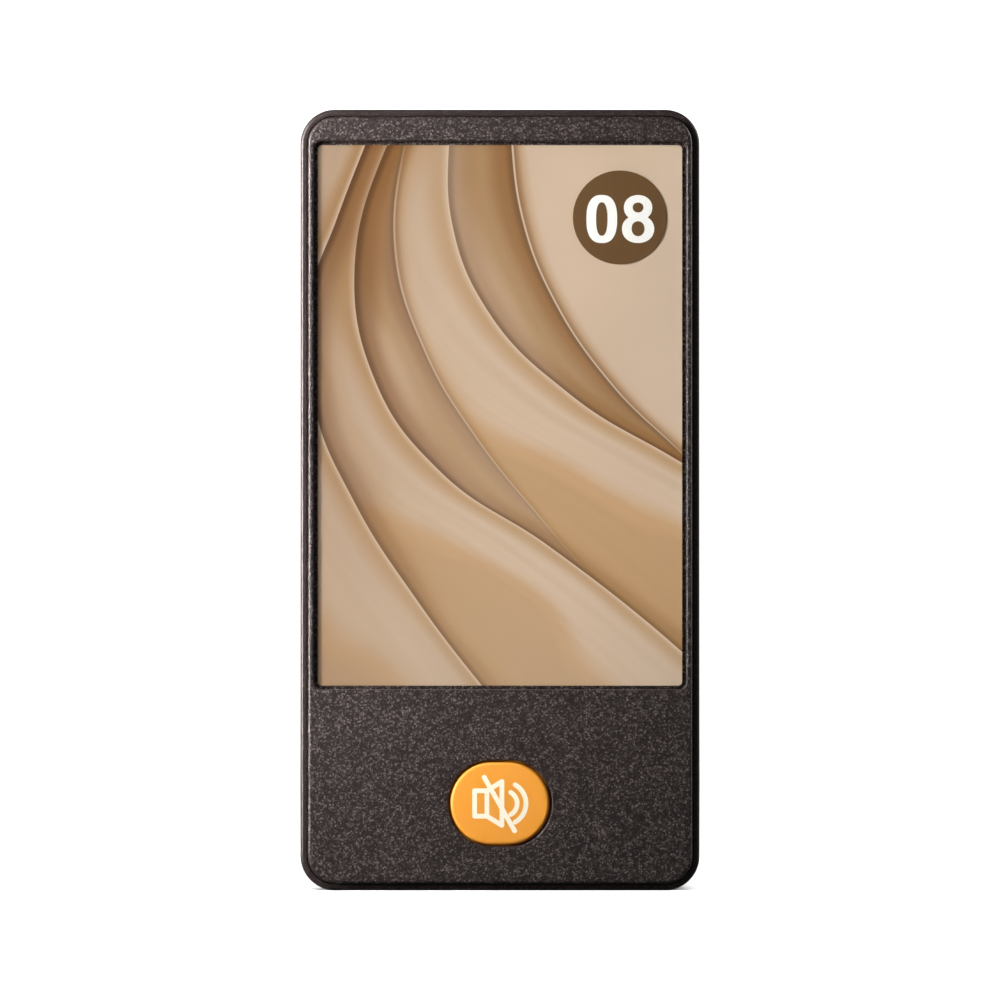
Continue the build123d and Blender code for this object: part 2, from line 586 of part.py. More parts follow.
def antenna_coil():
    """Helical receiving antenna beside the battery, with both ends bent down to the board."""
    radius, wire_r, turns, pitch = 1.5, 0.25, 11, 1.9
    x, y, z0 = -19.8, BOARD_BACK_Y + 2.0, 42.0
    helix = Helix(pitch=pitch, height=turns * pitch, radius=radius)
    coil = sweep(Plane(origin=helix @ 0, z_dir=helix % 0) * Circle(wire_r), path=helix, is_frenet=True)
    legs = [rod_y(wire_r, x + radius, z, BOARD_BACK_Y, y) for z in (z0, z0 + turns * pitch)]
    return Pos(x, y, z0) * coil + legs[0] + legs[1]


# ---------------------------------------------------------------- lights
SIDE_LED_LEFT_X, SIDE_LED_W, SIDE_LED_T, SIDE_LED_H = 21.0, 1.8, 1.1, 2.4
REAR_LED_W, REAR_LED_T, REAR_LED_H = 2.8, 0.9, 2.2


def side_led():
    x0, z = SIDE_LED_LEFT_X, SIDE_LIGHT_Z
    return block(x0, x0 + SIDE_LED_W, BOARD_FRONT_Y - SIDE_LED_T, BOARD_FRONT_Y,
                 z - SIDE_LED_H / 2, z + SIDE_LED_H / 2)


def rear_led():
    x, z = REAR_LIGHT_X, REAR_LIGHT_Z
    return block(x - REAR_LED_W / 2, x + REAR_LED_W / 2, BOARD_BACK_Y, BOARD_BACK_Y + REAR_LED_T,
                 z - REAR_LED_H / 2, z + REAR_LED_H / 2)


def side_light_pipe():
    """Clear red pin that carries the side lamp's light through the right wall."""
    inner_x, outer_x = BODY_W / 2 - WALL, BODY_W / 2 - LIGHT_SINK
    flange_x = inner_x - LIGHT_GAP
    pipe = rod_x(SIDE_LIGHT_R, SIDE_LIGHT_Y, SIDE_LIGHT_Z, inner_x - SIDE_PIPE_TAIL, outer_x)
    return pipe + rod_x(SIDE_FLANGE_R, SIDE_LIGHT_Y, SIDE_LIGHT_Z, flange_x - SIDE_FLANGE_T, flange_x)


def rear_light_pipe():
    x, z = REAR_LIGHT_X, REAR_LIGHT_Z
    flange_y = CAVITY_BACK_Y - LIGHT_GAP
    pipe = rod_y(REAR_LIGHT_R, x, z, BOARD_BACK_Y + REAR_LAMP_GAP, BACK_Y - LIGHT_SINK)
    return pipe + rod_y(REAR_FLANGE_R, x, z, flange_y - REAR_FLANGE_T, flange_y)


# ---------------------------------------------------------------- buzzer
def buzzer_disc():
    return rod_y(BUZZER_DISC_R, BUZZER_X, BUZZER_Z, BUZZER_Y - BUZZER_T, BUZZER_Y)


def buzzer_ceramic():
    y1 = BUZZER_Y - BUZZER_T
    return rod_y(BUZZER_CERAMIC_R, BUZZER_X, BUZZER_Z, y1 - BUZZER_T, y1)


def buzzer_pins():
    """Two sprung pins from the board: one to the ceramic and one to the brass disc."""
    disc_y = BUZZER_Y - BUZZER_T
    return together([
        rod_y(BUZZER_PIN_R, BUZZER_X, BUZZER_Z - CERAMIC_PIN_DROP, BOARD_BACK_Y, disc_y - BUZZER_T),
        rod_y(BUZZER_PIN_R, BUZZER_X, BUZZER_Z - DISC_PIN_DROP, BOARD_BACK_Y, disc_y),
    ])


def vent_mesh():
    """Fine mesh patch that keeps dust and drips out of the sound holes."""
    return rod_y(MESH_R, BUZZER_X, BUZZER_Z, CAVITY_BACK_Y - MESH_T, CAVITY_BACK_Y)


# ---------------------------------------------------------------- vibration motor
MAGNET_LEFT_X, MAGNET_RIGHT_X = MOTOR_LEFT_X + 2.4, MOTOR_RIGHT_X - 1.6
MAGNET_R, MAGNET_BORE_GAP = 1.6, 0.2
COIL_R, COIL_T, COIL_END_T = 2.5, 0.5, 0.4
BEARING_R = 1.1
CAN_LEFT_X = MOTOR_LEFT_X + END_CAP_T
SHAFT_LEFT_X, SHAFT_RIGHT_X = MOTOR_LEFT_X + 0.6, WEIGHT_RIGHT_X + 0.3


def motor_can():
    nose_x = MOTOR_RIGHT_X - CAN_NOSE_T
    can = rod_x(MOTOR_R, MOTOR_Y, MOTOR_Z, CAN_LEFT_X, MOTOR_RIGHT_X)
    can = fillet(can.faces().sort_by(Axis.X)[-1].edges(), CAN_EDGE_R)
    can -= rod_x(MOTOR_R - CAN_T, MOTOR_Y, MOTOR_Z, CAN_LEFT_X, nose_x)
    return can - rod_x(BEARING_R, MOTOR_Y, MOTOR_Z, nose_x, MOTOR_RIGHT_X)


def motor_end_cap():
    spigot_x = CAN_LEFT_X + END_CAP_SPIGOT
    cap = rod_x(MOTOR_R, MOTOR_Y, MOTOR_Z, MOTOR_LEFT_X, CAN_LEFT_X)
    cap += rod_x(MOTOR_R - CAN_T, MOTOR_Y, MOTOR_Z, CAN_LEFT_X, spigot_x)
    return cap - rod_x(SHAFT_R + SHAFT_GAP, MOTOR_Y, MOTOR_Z, SHAFT_LEFT_X - SLIP, spigot_x)


def motor_bearing():
    """Bronze bush in the can's nose. Its tail carries the magnet."""
    bush = rod_x(BEARING_R, MOTOR_Y, MOTOR_Z, MAGNET_RIGHT_X, MOTOR_RIGHT_X)
    return bush - rod_x(SHAFT_R + SHAFT_GAP, MOTOR_Y, MOTOR_Z, MAGNET_RIGHT_X, MOTOR_RIGHT_X)


def motor_magnet():
    magnet = rod_x(MAGNET_R, MOTOR_Y, MOTOR_Z, MAGNET_LEFT_X, MAGNET_RIGHT_X)
    return magnet - rod_x(SHAFT_R + MAGNET_BORE_GAP, MOTOR_Y, MOTOR_Z, MAGNET_LEFT_X, MAGNET_RIGHT_X)


def motor_boot():
    """Square rubber sleeve that holds the motor and passes its shake to the case."""
    half = BOOT_SIZE / 2
    boot = block(BOOT_LEFT_X, BOOT_RIGHT_X, MOTOR_Y - half, MOTOR_Y + half, MOTOR_Z - half, MOTOR_Z + half)
    boot = fillet(boot.edges().filter_by(Axis.X), BOOT_R)
    return boot - rod_x(MOTOR_R, MOTOR_Y, MOTOR_Z, BOOT_LEFT_X, BOOT_RIGHT_X)


def motor_shaft():
    return rod_x(SHAFT_R, MOTOR_Y, MOTOR_Z, SHAFT_LEFT_X, SHAFT_RIGHT_X)


def rotor_coil():
    """Cup-shaped winding that turns between the magnet and the can."""
    x0, x1 = MAGNET_LEFT_X - 0.6, MAGNET_RIGHT_X - 0.4
    cup = rod_x(COIL_R, MOTOR_Y, MOTOR_Z, x0, x1)
    cup -= rod_x(COIL_R - COIL_T, MOTOR_Y, MOTOR_Z, x0 + COIL_END_T, x1)
    return cup - rod_x(SHAFT_R, MOTOR_Y, MOTOR_Z, x0, x1)


def eccentric_weight():
    """Half-round tungsten weight around the shaft's free end."""
    weight = rod_x(WEIGHT_R, MOTOR_Y, MOTOR_Z, WEIGHT_LEFT_X, WEIGHT_RIGHT_X)
    weight -= block(WEIGHT_LEFT_X, WEIGHT_RIGHT_X, MOTOR_Y - WEIGHT_R, MOTOR_Y + WEIGHT_R,
                    MOTOR_Z + WEIGHT_CUT, MOTOR_Z + WEIGHT_R)
    weight += rod_x(HUB_R, MOTOR_Y, MOTOR_Z, WEIGHT_LEFT_X, WEIGHT_RIGHT_X)
    return weight - rod_x(SHAFT_R, MOTOR_Y, MOTOR_Z, WEIGHT_LEFT_X, WEIGHT_RIGHT_X)


def motor_lead(start_z, run_x, pad_z):
    """One motor wire, round the end of the board's slot and down to its pad."""
    y = MOTOR_Y + MOTOR_LEAD_RISE
    points = [(MOTOR_LEFT_X, y, start_z), (run_x, y, start_z), (run_x, y, pad_z), (run_x, BOARD_BACK_Y, pad_z)]
    return wire_tube(points, MOTOR_LEAD_R, 2 * MOTOR_LEAD_R)


def motor_lead_red():
    return motor_lead(MOTOR_Z - 0.6, -21.4, 78.4)


def motor_lead_blue():
    return motor_lead(MOTOR_Z + 0.6, -22.4, 76.8)


# ---------------------------------------------------------------- battery
def battery_cell():
    half = BATTERY_W / 2
    cell = block(-half, half, BATTERY_Y, BATTERY_Y + BATTERY_T, BATTERY_LOW_Z, BATTERY_HIGH_Z)
    cell = fillet(cell.edges().filter_by(Axis.Z), BATTERY_SIDE_R)
    return fillet(cell.faces().sort_by(Axis.Z)[-1].edges(), BATTERY_END_R)


def battery_foam():
    half = BATTERY_W / 2 - FOAM_INSET
    return block(-half, half, BOARD_BACK_Y, BATTERY_Y, BATTERY_LOW_Z + FOAM_INSET, BATTERY_HIGH_Z - FOAM_INSET)


def battery_board():
    """Narrow protection board along the cell's lower end."""
    y0 = BATTERY_Y + BATTERY_BOARD_FRONT
    z0 = BATTERY_LOW_Z - BATTERY_BOARD_H
    return block(BATTERY_BOARD_LEFT_X, BATTERY_BOARD_RIGHT_X, y0, y0 + BATTERY_BOARD_T, z0, BATTERY_LOW_Z)


PLUG_X, PLUG_LOW_Z, PLUG_HIGH_Z = 4.2, 29.6, 33.2
PLUG_W, PLUG_T, PLUG_GAP = 4.9, 2.0, 0.05
SOCKET_W, SOCKET_T, SOCKET_LOW_Z, SOCKET_HIGH_Z = 6.4, 3.2, 26.2, 31.4
SOCKET_FLOOR, SOCKET_ROOF = 0.6, 0.5
LEAD_Y = BATTERY_Y + 1.5
LEAD_GRIP, LEAD_STRAIGHT = 1.0, 1.3


def battery_socket():
    y0, y1 = BOARD_BACK_Y, BOARD_BACK_Y + SOCKET_T
    mouth = PLUG_W / 2 + PLUG_GAP
    box = block(PLUG_X - SOCKET_W / 2, PLUG_X + SOCKET_W / 2, y0, y1, SOCKET_LOW_Z, SOCKET_HIGH_Z)
    return box - block(PLUG_X - mouth, PLUG_X + mouth, y0 + SOCKET_FLOOR, y1 - SOCKET_ROOF,
                       PLUG_LOW_Z, SOCKET_HIGH_Z)


def battery_plug():
    y0 = BOARD_BACK_Y + SOCKET_FLOOR + PLUG_GAP
    plug = block(PLUG_X - PLUG_W / 2, PLUG_X + PLUG_W / 2, y0, y0 + PLUG_T, PLUG_LOW_Z, PLUG_HIGH_Z)
    for x in (PLUG_X - 1, PLUG_X + 1):
        plug -= rod_z(LEAD_R, x, LEAD_Y, PLUG_HIGH_Z - LEAD_GRIP, PLUG_HIGH_Z)
    return plug


def battery_lead(side, start_x):
    """One battery wire, from the protection board across to the plug."""
    end_x = PLUG_X + side
    start_z = BATTERY_LOW_Z - BATTERY_BOARD_H
    points = [
        (start_x, LEAD_Y, start_z),
        (start_x, LEAD_Y, start_z - LEAD_STRAIGHT),
        (end_x, LEAD_Y, PLUG_HIGH_Z + LEAD_STRAIGHT),
        (end_x, LEAD_Y, PLUG_HIGH_Z - LEAD_GRIP),
    ]
    return wire_tube(points, LEAD_R, 2 * LEAD_R)


def battery_lead_red():
    return battery_lead(-1, 1.6)


def battery_lead_black():
    return battery_lead(1, 7.0)


# ---------------------------------------------------------------- charging contacts
def charge_contacts():
    """Two plated studs let into the bottom end, just below its surface."""
    studs = []
    for x in (-CONTACT_X, CONTACT_X):
        head_top_z = CONTACT_SINK + CONTACT_HEAD_T
        head = rod_z(CONTACT_R, x, CONTACT_Y, CONTACT_SINK, head_top_z)
        studs.append(head + rod_z(CONTACT_SHANK_R, x, CONTACT_Y, head_top_z, CONTACT_INNER_Z))
    return together(studs)


def contact_clips():
    """Bent strips from the studs' inner ends to the back of the board."""
    clips = []
    for x in (-CONTACT_X, CONTACT_X):
        x0, x1 = x - CLIP_W / 2, x + CLIP_W / 2
        z0 = CONTACT_INNER_Z
        foot = block(x0, x1, BOARD_BACK_Y, BOARD_BACK_Y + CLIP_FOOT, z0, z0 + CLIP_T)
        leg = block(x0, x1, BOARD_BACK_Y, BOARD_BACK_Y + CLIP_T, z0, z0 + CLIP_LEG)
        clips.append(foot + leg)
    return together(clips)


# ---------------------------------------------------------------- every node
NODES = {
    "front_cover": front_cover, "rear_shell": rear_shell, "case_seal": case_seal, "case_screws": case_screws,
    "clear_window": clear_window, "label_card": label_card, "card_tape": card_tape,
    "number_sticker": number_sticker, "number_digits": number_digits,
    "mute_button": mute_button, "mute_icon": mute_icon,
    "switch_base": switch_base, "switch_cover": switch_cover, "switch_plunger": switch_plunger,
    "switch_dome": switch_dome, "switch_terminals": switch_terminals,
    "circuit_board": circuit_board, "controller_chip": controller_chip, "controller_leads": controller_leads,
    "radio_chip": radio_chip, "radio_leads": radio_leads, "charger_chip": charger_chip,
    "charger_leads": charger_leads, "crystal_can": crystal_can, "chip_capacitors": chip_capacitors,
    "chip_solder_ends": chip_solder_ends, "bulk_capacitor": bulk_capacitor, "antenna_coil": antenna_coil,
    "side_led": side_led, "rear_led": rear_led,
    "side_light_pipe": side_light_pipe, "rear_light_pipe": rear_light_pipe,
    "buzzer_disc": buzzer_disc, "buzzer_ceramic": buzzer_ceramic, "buzzer_pins": buzzer_pins,
    "vent_mesh": vent_mesh,
    "motor_can": motor_can, "motor_end_cap": motor_end_cap, "motor_bearing": motor_bearing,
    "motor_magnet": motor_magnet, "motor_boot": motor_boot, "motor_shaft": motor_shaft,
    "rotor_coil": rotor_coil, "eccentric_weight": eccentric_weight,
    "motor_lead_red": motor_lead_red, "motor_lead_blue": motor_lead_blue,
    "battery_cell": battery_cell, "battery_foam": battery_foam, "battery_board": battery_board,
    "battery_socket": battery_socket, "battery_plug": battery_plug,
    "battery_lead_red": battery_lead_red, "battery_lead_black": battery_lead_black,
    "charge_contacts": charge_contacts, "contact_clips": contact_clips,
}

os.makedirs("parts", exist_ok=True)
for name, make in NODES.items():
    export_step(make(), os.path.join("parts", name + ".step"))
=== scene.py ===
"""Looks for the guest pager: procedural materials for every piece, a pale studio and a straight-on camera."""

import json
import math

import bpy
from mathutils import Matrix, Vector


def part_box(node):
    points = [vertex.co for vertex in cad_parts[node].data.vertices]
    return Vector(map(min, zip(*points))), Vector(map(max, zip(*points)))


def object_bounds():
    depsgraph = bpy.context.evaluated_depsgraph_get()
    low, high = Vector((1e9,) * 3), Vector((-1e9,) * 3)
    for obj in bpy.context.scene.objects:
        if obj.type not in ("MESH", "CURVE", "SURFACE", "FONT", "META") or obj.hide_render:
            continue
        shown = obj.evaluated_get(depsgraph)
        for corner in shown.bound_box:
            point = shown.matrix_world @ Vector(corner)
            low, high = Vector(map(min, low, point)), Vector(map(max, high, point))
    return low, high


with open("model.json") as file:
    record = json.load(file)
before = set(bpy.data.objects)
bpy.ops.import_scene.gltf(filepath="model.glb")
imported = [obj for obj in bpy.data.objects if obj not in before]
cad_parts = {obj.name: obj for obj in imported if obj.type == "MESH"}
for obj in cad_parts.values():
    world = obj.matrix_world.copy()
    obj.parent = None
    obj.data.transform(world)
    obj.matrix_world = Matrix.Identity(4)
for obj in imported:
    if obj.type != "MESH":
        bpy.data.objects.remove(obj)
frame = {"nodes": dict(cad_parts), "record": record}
cad_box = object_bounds()
NODES = frame["nodes"]


# ---------------------------------------------------------------- node helpers
def srgb(red, green, blue):
    """A colour from 0-255 display values, as the linear colour that shaders take."""
    def linear(value):
        value /= 255
        return value / 12.92 if value <= 0.04045 else ((value + 0.055) / 1.055) ** 2.4
    return (linear(red), linear(green), linear(blue), 1.0)


class Material:
    """A Principled material and short calls for the nodes that feed it. Places are in millimetres."""

    def __init__(self, name, colour, roughness, metallic=0.0, **sockets):
        self.material = bpy.data.materials.new(name)
        self.material.use_nodes = True
        self.tree = self.material.node_tree
        self.shader = self.tree.nodes["Principled BSDF"]
        self.output = self.tree.nodes["Material Output"]
        self.put("Base Color", colour)
        self.put("Roughness", roughness)
        self.put("Metallic", metallic)
        for socket, value in sockets.items():
            self.put(socket.replace("_", " "), value)

    def put(self, socket, value):
        """Sets one of the shader's sockets, or links a node's output to it."""
        self.feed(self.shader.inputs[socket], value)

    def feed(self, socket, value):
        if isinstance(value, bpy.types.NodeSocket):
            self.tree.links.new(value, socket)
        else:
            socket.default_value = value

    def node(self, kind, inputs=None, **settings):
        made = self.tree.nodes.new("ShaderNode" + kind)
        for name, value in settings.items():
            setattr(made, name, value)
        for name, value in (inputs or {}).items():
            self.feed(made.inputs[name], value)
        return made

    def place(self):
        """Where the point is in the piece's own frame, in millimetres."""
        coordinates = self.node("TexCoord").outputs["Object"]
        scaled = self.node("VectorMath", {0: coordinates, "Scale": 1000.0}, operation="SCALE")
        return scaled.outputs["Vector"]

    def axes(self):
        split = self.node("SeparateXYZ", {0: self.place()})
        return split.outputs["X"], split.outputs["Y"], split.outputs["Z"]

    def stretched(self, x, y, z):
        """The place with its axes scaled, for grain that runs one way."""
        inputs = {0: self.place(), 1: (x, y, z)}
        return self.node("VectorMath", inputs, operation="MULTIPLY").outputs["Vector"]

    def maths(self, operation, first, second=0.5, clamp=False):
        inputs = {0: first, 1: second}
        return self.node("Math", inputs, operation=operation, use_clamp=clamp).outputs[0]

    def times(self, first, second):
        return self.maths("MULTIPLY", first, second)

    def plus(self, first, second, clamp=False):
        return self.maths("ADD", first, second, clamp)

    def minus(self, first, second):
        return self.maths("SUBTRACT", first, second)

    def noise(self, size, detail=2.0, roughness=0.5, vector=None):
        """Smooth noise from 0 to 1 with features about size millimetres across."""
        inputs = {"Vector": vector or self.place(), "Scale": 1 / size}
        inputs.update({"Detail": detail, "Roughness": roughness})
        return self.node("TexNoise", inputs).outputs["Fac"]

    def cells(self, size, feature="F1", output="Distance"):
        """Cells about size millimetres across: the distance from each one's middle, or a colour for each."""
        inputs = {"Vector": self.place(), "Scale": 1 / size}
        return self.node("TexVoronoi", inputs, feature=feature).outputs[output]

    def fit(self, value, low, high, new_low=0.0, new_high=1.0, smooth=False):
        """The value carried from one range to another, held at its ends."""
        inputs = {"Value": value, "From Min": low, "From Max": high, "To Min": new_low, "To Max": new_high}
        kind = "SMOOTHSTEP" if smooth else "LINEAR"
        return self.node("MapRange", inputs, interpolation_type=kind).outputs["Result"]

    def mix(self, share, first, second, blend="MIX"):
        mixer = self.node("Mix", data_type="RGBA", blend_type=blend)
        for index, value in ((0, share), (6, first), (7, second)):
            self.feed(mixer.inputs[index], value)
        return mixer.outputs[2]

    def ramp(self, value, stops, interpolation="EASE"):
        """A colour ramp from (position, colour) stops."""
        made = self.node("ValToRGB", {"Fac": value})
        made.color_ramp.interpolation = interpolation
        elements = made.color_ramp.elements
        while len(elements) < len(stops):
            elements.new(0.5)
        for element, (position, colour) in zip(elements, stops):
            element.position = position
            element.color = colour
        return made.outputs["Color"]

    def curve(self, value, points):
        """A smooth curve through (input, output) points."""
        made = self.node("FloatCurve", {"Value": value})
        line = made.mapping.curves[0]
        made.mapping.use_clip = False
        while len(line.points) < len(points):
            line.points.new(0.5, 0.5)
        for point, place in zip(line.points, points):
            point.location = place
        made.mapping.update()
        return made.outputs["Value"]

    def bump(self, height, depth, below=None):
        """Dents and bumps up to depth millimetres, over any that are already there."""
        inputs = {"Height": height, "Distance": depth / 1000, "Strength": 1.0}
        if below is not None:
            inputs["Normal"] = below
        return self.node("Bump", inputs).outputs["Normal"]


def tone(colour, factor):
    """A colour made darker or lighter."""
    return tuple(min(1.0, channel * factor) for channel in colour[:3]) + (1.0,)


# ---------------------------------------------------------------- case
# The pale colour of the painted glints: highlights painted onto the plastic's grains.
PAINTED_GLINT_COLOUR = srgb(127, 115, 112)


def eroded(name, colour, roughness, grain, depth, painted_glint_strength):
    """Brown-black plastic with a spark-eroded skin of fine uneven grains, with painted glints: the palest
    grains and a few specks are painted pale in the colour, as highlights.

    Grain and depth are in millimetres, and the glint strength, from 0 to 1, says how pale the painted glints
    are.
    """
    m = Material(name, colour, roughness, Specular_Tint=(1.0, 0.87, 0.86, 1))
    dome = m.fit(m.cells(grain), 0.0, 0.65, 1.0, 0.0, smooth=True)
    chance = m.node("SeparateColor", {0: m.cells(grain, output="Color")})
    # Painted glints: the palest grains and a few specks get a pale colour, standing in for light caught by
    # the grains.
    painted_glint_grains = m.times(m.maths("POWER", chance.outputs["Red"], 3.0), m.fit(dome, 0.0, 0.7, 0.35, 1.0))
    painted_glint_specks = m.times(m.fit(chance.outputs["Blue"], 0.90, 1.0), m.fit(dome, 0.2, 0.7))
    painted_glint = m.plus(painted_glint_grains, painted_glint_specks, clamp=True)
    pits = m.noise(grain * 2, 2.0, 0.6)
    cloud = m.noise(12.0, 2.0)
    height = m.plus(m.times(pits, 0.5), m.times(dome, chance.outputs["Green"]))
    shade = m.mix(m.fit(cloud, 0.3, 0.7), tone(colour, 0.45), tone(colour, 0.3))
    m.put("Base Color", m.mix(m.times(painted_glint, painted_glint_strength), shade, PAINTED_GLINT_COLOUR))
    m.put("Roughness", m.fit(painted_glint, 0, 1, roughness, roughness * 0.7))
    m.put("Normal", m.bump(height, depth))
    return m


def clear_window():
    """Clear acrylic: the card shows straight through, and the faces mirror a little, more so at a slant."""
    m = Material("window_clear", (1, 1, 1, 1), 0.04, metallic=1.0)
    smear = m.noise(16.0, 3.0, 0.6)
    m.put("Roughness", m.fit(smear, 0.3, 0.8, 0.02, 0.08))
    slant = m.node("LayerWeight", {"Blend": 0.5}).outputs["Facing"]
    gloss = m.fit(m.maths("POWER", slant, 5.0), 0.0, 1.0, 0.04, 1.0)
    clear = m.node("BsdfTransparent", {"Color": (0.985, 0.985, 0.98, 1)}).outputs["BSDF"]
    mixer = m.node("MixShader", {0: gloss, 1: clear, 2: m.shader.outputs["BSDF"]})
    m.feed(m.output.inputs["Surface"], mixer.outputs[0])
    return m


SAND, TAN, BROWN, UMBER = srgb(200, 173, 144), srgb(179, 139, 93), srgb(139, 93, 44), srgb(102, 63, 25)
GLEAM = srgb(211, 186, 155)
# The card is lit from one side, so its colours are held back on the lit side and raised on the far side.
LIT_SIDE, FAR_SIDE = (0.425, 0.41, 0.415, 1), (1.22, 1.31, 1.46, 1)
# How a printed fold shades, going left from its edge: one lies over its neighbour, the other dips under it.
OVER = [(0.0, tone(SAND, 1.08)), (0.05, TAN), (0.22, SAND), (0.55, tone(SAND, 1.05)), (0.85, tone(TAN, 1.15)),
        (1.0, tone(TAN, 1.05))]
UNDER = [(0.0, UMBER), (0.07, BROWN), (0.30, tone(TAN, 0.82)), (0.60, SAND), (1.0, tone(SAND, 0.96))]
# The folds from back to front: the edge as (height up the card, distance across it), how it shades and how
# wide, how dark its valley is at its foot and at its head, and how wide.
FOLDS = [
    ([(0.0, 1.60), (0.30, 1.20), (0.44, 0.98), (0.56, 0.80), (0.72, 0.64), (0.86, 0.56), (1.0, 0.53)],
     UNDER, 0.26, 0.7, 0.95, 0.05),
    ([(0.0, 1.75), (0.30, 1.28), (0.42, 0.98), (0.54, 0.69), (0.70, 0.46), (0.85, 0.37), (1.0, 0.36)],
     OVER, 0.42, 0.95, 0.45, 0.16),
    ([(0.0, 0.97), (0.14, 0.82), (0.30, 0.62), (0.46, 0.43), (0.62, 0.29), (0.80, 0.21), (1.0, 0.235)],
     UNDER, 0.20, 0.15, 0.9, 0.05),
    ([(0.0, 1.10), (0.12, 0.90), (0.26, 0.63), (0.40, 0.33), (0.56, 0.16), (0.76, 0.10), (1.0, 0.19)],
     OVER, 0.36, 0.5, 1.0, 0.17),
    ([(0.0, 0.45), (0.16, 0.27), (0.34, 0.10), (0.52, -0.01), (0.72, -0.02), (0.86, 0.05), (1.0, 0.13)],
     OVER, 0.30, 0.45, 1.0, 0.15),
]


def fold_over(m, colour, number, fold, across, up, sway):
    """The card's colour with one more fold laid over it."""
    points, stops, width, foot, head, valley = fold
    beyond = m.minus(across, m.curve(up, points))
    depth = m.fit(up, 0.0, 1.0, foot, head)
    share = m.maths("DIVIDE", beyond, m.times(sway, valley))
    shadow = m.ramp(share, [(0.0, UMBER), (0.18, BROWN), (0.6, TAN), (1.0, SAND)])
    fading = m.times(depth, m.fit(share, 0.0, 1.0, 1.0, 0.0, smooth=True))
    colour = m.mix(fading, colour, m.mix(1.0, colour, shadow, "DARKEN"))
    if stops is OVER:
        crease = m.times(depth, m.fit(beyond, 0.024, 0.002, 0.0, 0.7, smooth=True))
        colour = m.mix(crease, colour, UMBER)
    streak = m.node("CombineXYZ", {0: m.times(beyond, 22.0), 1: m.times(up, 1.2), 2: 3.7 * number}).outputs[0]
    streaks = m.fit(m.noise(1.0, 2.0, 0.5, vector=streak), 0.3, 0.7)
    surface = m.ramp(m.maths("DIVIDE", beyond, m.times(sway, -width)), stops)
    surface = m.mix(m.times(streaks, 0.22), surface, tone(TAN, 0.85))
    surface = m.mix(m.times(m.minus(1.0, depth), 0.75), surface, tone(SAND, 0.97))
    if stops is OVER:
        surface = m.mix(m.fit(beyond, -0.0065, -0.0020), surface, GLEAM)
    colour = m.mix(m.fit(beyond, 0.0008, -0.0008), colour, surface)
    if stops is UNDER:
        rim = m.fit(m.maths("ABSOLUTE", m.minus(beyond, 0.004)), 0.004, 0.001)
        colour = m.mix(m.times(rim, depth), colour, GLEAM)
    return colour


def card_print():
    """Printed card: broad satin folds in sand and brown, with fine light rims, creases and soft valleys."""
    m = Material("card_print", SAND, 0.55, Specular_IOR_Level=0.15)
    low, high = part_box("label_card")
    x, _, z = m.axes()
    across = m.fit(x, low.x * 1000, high.x * 1000)
    up = m.fit(z, low.z * 1000, high.z * 1000)
    sway = m.fit(m.noise(26.0, 1.0), 0.3, 0.7, 0.7, 1.3)
    sheen = m.fit(m.noise(12.0, 1.0), 0.3, 0.7)
    colour = m.mix(sheen, tone(SAND, 1.04), tone(SAND, 0.96))
    for number, fold in enumerate(FOLDS):
        colour = fold_over(m, colour, number, fold, across, up, sway)
    far = m.fit(m.minus(m.times(across, 0.85), m.times(up, 0.09)), -0.15, 0.85)
    m.put("Base Color", m.mix(1.0, colour, m.mix(far, LIT_SIDE, FAR_SIDE), "MULTIPLY"))
    m.put("Roughness", m.fit(sheen, 0, 1, 0.5, 0.6))
    return m


def sticker_print():
    colour = srgb(104, 75, 43)
    m = Material("sticker_brown", colour, 0.5, Specular_IOR_Level=0.15)
    grain = m.noise(0.35, 2.0)
    m.put("Base Color", m.mix(m.fit(grain, 0.3, 0.7, 0.0, 0.3), colour, tone(colour, 0.88)))
    return m


def pale_ink(name, colour):
    m = Material(name, colour, 0.45)
    grain = m.noise(0.25, 2.0)
    m.put("Base Color", m.mix(m.fit(grain, 0.35, 0.75, 0.0, 0.5), colour, tone(colour, 0.92)))
    return m


def orange_button():
    """Satin orange key cap with a hint of light carried inside it."""
    colour = srgb(235, 154, 44)
    m = Material("button_orange", colour, 0.5, Subsurface_Weight=0.15, Subsurface_Scale=0.0015)
    m.put("Subsurface Radius", (1.0, 0.5, 0.2))
    skin = m.noise(0.35, 2.0, 0.6)
    cloud = m.noise(5.0, 2.0)
    m.put("Base Color", m.mix(m.fit(cloud, 0.3, 0.7, 0.0, 0.5), colour, srgb(238, 159, 62)))
    m.put("Roughness", m.fit(skin, 0.3, 0.7, 0.48, 0.58))
    m.put("Normal", m.bump(skin, 0.006))
    return m


# ---------------------------------------------------------------- plastics, rubbers and papers
def moulded(name, colour, roughness, grain=0.4, depth=0.006):
    """Moulded plastic with a fine skin and a slow change of tone."""
    m = Material(name, colour, roughness)
    skin = m.noise(grain, 2.0, 0.6)
    cloud = m.noise(grain * 14, 2.0)
    m.put("Base Color", m.mix(cloud, tone(colour, 0.86), tone(colour, 1.12)))
    m.put("Roughness", m.fit(skin, 0.3, 0.7, roughness - 0.06, roughness + 0.08))
    m.put("Normal", m.bump(skin, depth))
    return m


def foam(name, colour):
    """Closed-cell foam: small rounded cells."""
    m = Material(name, colour, 0.9)
    cell = m.cells(0.45)
    m.put("Base Color", m.mix(m.fit(cell, 0.1, 0.6), tone(colour, 1.3), tone(colour, 0.5)))
    m.put("Normal", m.bump(cell, 0.08))
    return m


def tape(name):
    """White double-sided tape with a thin fibrous tissue inside."""
    m = Material(name, srgb(224, 223, 218), 0.6)
    fibre = m.noise(0.8, 3.0, 0.7, vector=m.stretched(1.0, 1.0, 0.15))
    m.put("Base Color", m.mix(m.fit(fibre, 0.35, 0.65), srgb(206, 204, 197), srgb(232, 231, 227)))
    m.put("Normal", m.bump(fibre, 0.01))
    return m


